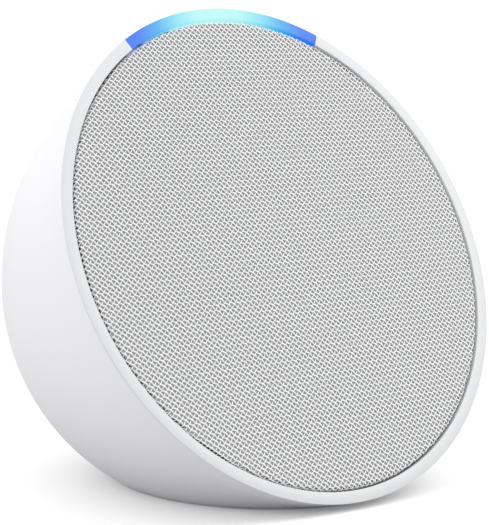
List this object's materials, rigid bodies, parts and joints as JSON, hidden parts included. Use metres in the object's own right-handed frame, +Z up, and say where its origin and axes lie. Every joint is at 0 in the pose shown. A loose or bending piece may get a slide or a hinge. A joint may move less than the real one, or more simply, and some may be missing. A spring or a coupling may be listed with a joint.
{
  "type": "smart speaker",
  "caption": "Half-ball smart speaker: tilted round fabric front in a thin ring with a light bar, smooth shell behind, press buttons on top, power inlet at the back.",
  "frame": {"origin": "centre of the bounding box's footprint, on the surface that the foot rests on", "axes": "+Z up; -Y is the way the fabric front looks, leaning back 25.33 degrees; +X is to the right of someone who faces the front"},
  "size_m": [0.099, 0.0834, 0.091],
  "materials": {
    "shell_plastic": "fine matt moulded white polycarbonate blend",
    "ring_plastic": "satin moulded white plastic",
    "light_diffuser": "milky translucent light guide, lit blue to cyan",
    "fabric": "knit-backed plain woven polyester, white thread on grey",
    "grille_plastic": "dark grey moulded plastic",
    "foam": "closed-cell foam",
    "reflector_plastic": "white reflector plastic",
    "led": "clear resin over white",
    "circuit_board": "green solder mask on glass-epoxy",
    "flex_film": "amber polyimide film",
    "black_plastic": "black moulded plastic",
    "chip": "black moulding compound",
    "steel": "zinc-plated steel",
    "tin_plate": "tin-plated sheet",
    "aluminium": "stamped sheet",
    "ferrite": "ground ferrite",
    "brass": "plated brass",
    "paper_cone": "pressed paper, black",
    "rubber": "black butyl rubber",
    "foot_rubber": "pale grey silicone rubber",
    "spider_cloth": "resin-dipped cotton",
    "copper": "enamelled copper wire",
    "wire_cover": "soft insulation",
    "thermal": "silicone gap pad",
    "button_plastic": "fine matt moulded white plastic"
  },
  "bodies": {
    "casing": {"rear_shell": "shell_plastic", "front_bezel": "ring_plastic", "light_bar": "light_diffuser", "led_reflector": "reflector_plastic", "indicator_leds": "led", "led_board": "circuit_board", "grille_fabric": "fabric", "grille_frame": "grille_plastic", "grille_gasket": "foam", "driver_basket": "black_plastic", "driver_surround": "rubber", "driver_spider": "spider_cloth", "driver_terminals": "brass", "driver_gasket": "foam", "speaker_baffle": "black_plastic", "speaker_box": "black_plastic", "box_seal": "foam", "lead_grommet": "rubber", "main_board": "circuit_board", "board_chips": "chip", "shield_can": "tin_plate", "thermal_pad": "thermal", "heat_spreader": "aluminium", "board_connectors": "reflector_plastic", "dc_jack": "black_plastic", "dc_jack_pin": "brass", "jack_board": "circuit_board", "power_leads": "wire_cover", "speaker_leads": "wire_cover", "button_ribbon": "flex_film", "antennas": "flex_film", "tact_switches": "black_plastic", "button_board": "circuit_board", "microphones": "tin_plate", "mic_gaskets": "rubber", "ribbon_connector": "reflector_plastic", "base_plate": "shell_plastic", "foot_pad": "foot_rubber", "base_screws": "steel", "jack_screws": "steel", "button_board_screws": "steel", "baffle_screws": "steel", "driver_screws": "steel", "board_screws": "steel", "magnet_front_plate": "steel", "ring_magnet": "ferrite", "magnet_yoke": "steel"},
    "mic_off": {"mic_off_button": "button_plastic", "mic_off_plunger": "black_plastic"},
    "volume_down": {"volume_down_button": "button_plastic", "volume_down_plunger": "black_plastic"},
    "volume_up": {"volume_up_button": "button_plastic", "volume_up_plunger": "black_plastic"},
    "driver_cone_assembly": {"driver_cone": "paper_cone", "dust_cap": "paper_cone", "voice_coil": "copper"}
  },
  "joints": [
    {"name": "mic_off_press", "type": "slide", "parent": "casing", "child": "mic_off", "axis": [0, -0.5544, -0.8322], "range_m": [0, 0.0003], "stiffness_N_per_m": 2500},
    {"name": "volume_down_press", "type": "slide", "parent": "casing", "child": "volume_down", "axis": [0, -0.5544, -0.8322], "range_m": [0, 0.0003], "stiffness_N_per_m": 2500},
    {"name": "volume_up_press", "type": "slide", "parent": "casing", "child": "volume_up", "axis": [0, -0.5544, -0.8322], "range_m": [0, 0.0003], "stiffness_N_per_m": 2500},
    {"name": "cone_travel", "type": "slide", "parent": "casing", "child": "driver_cone_assembly", "axis": [0, -0.9039, 0.4278], "range_m": [-0.0015, 0.0015], "stiffness_N_per_m": 900, "deforming": ["driver_surround", "driver_spider"]}
  ]
}
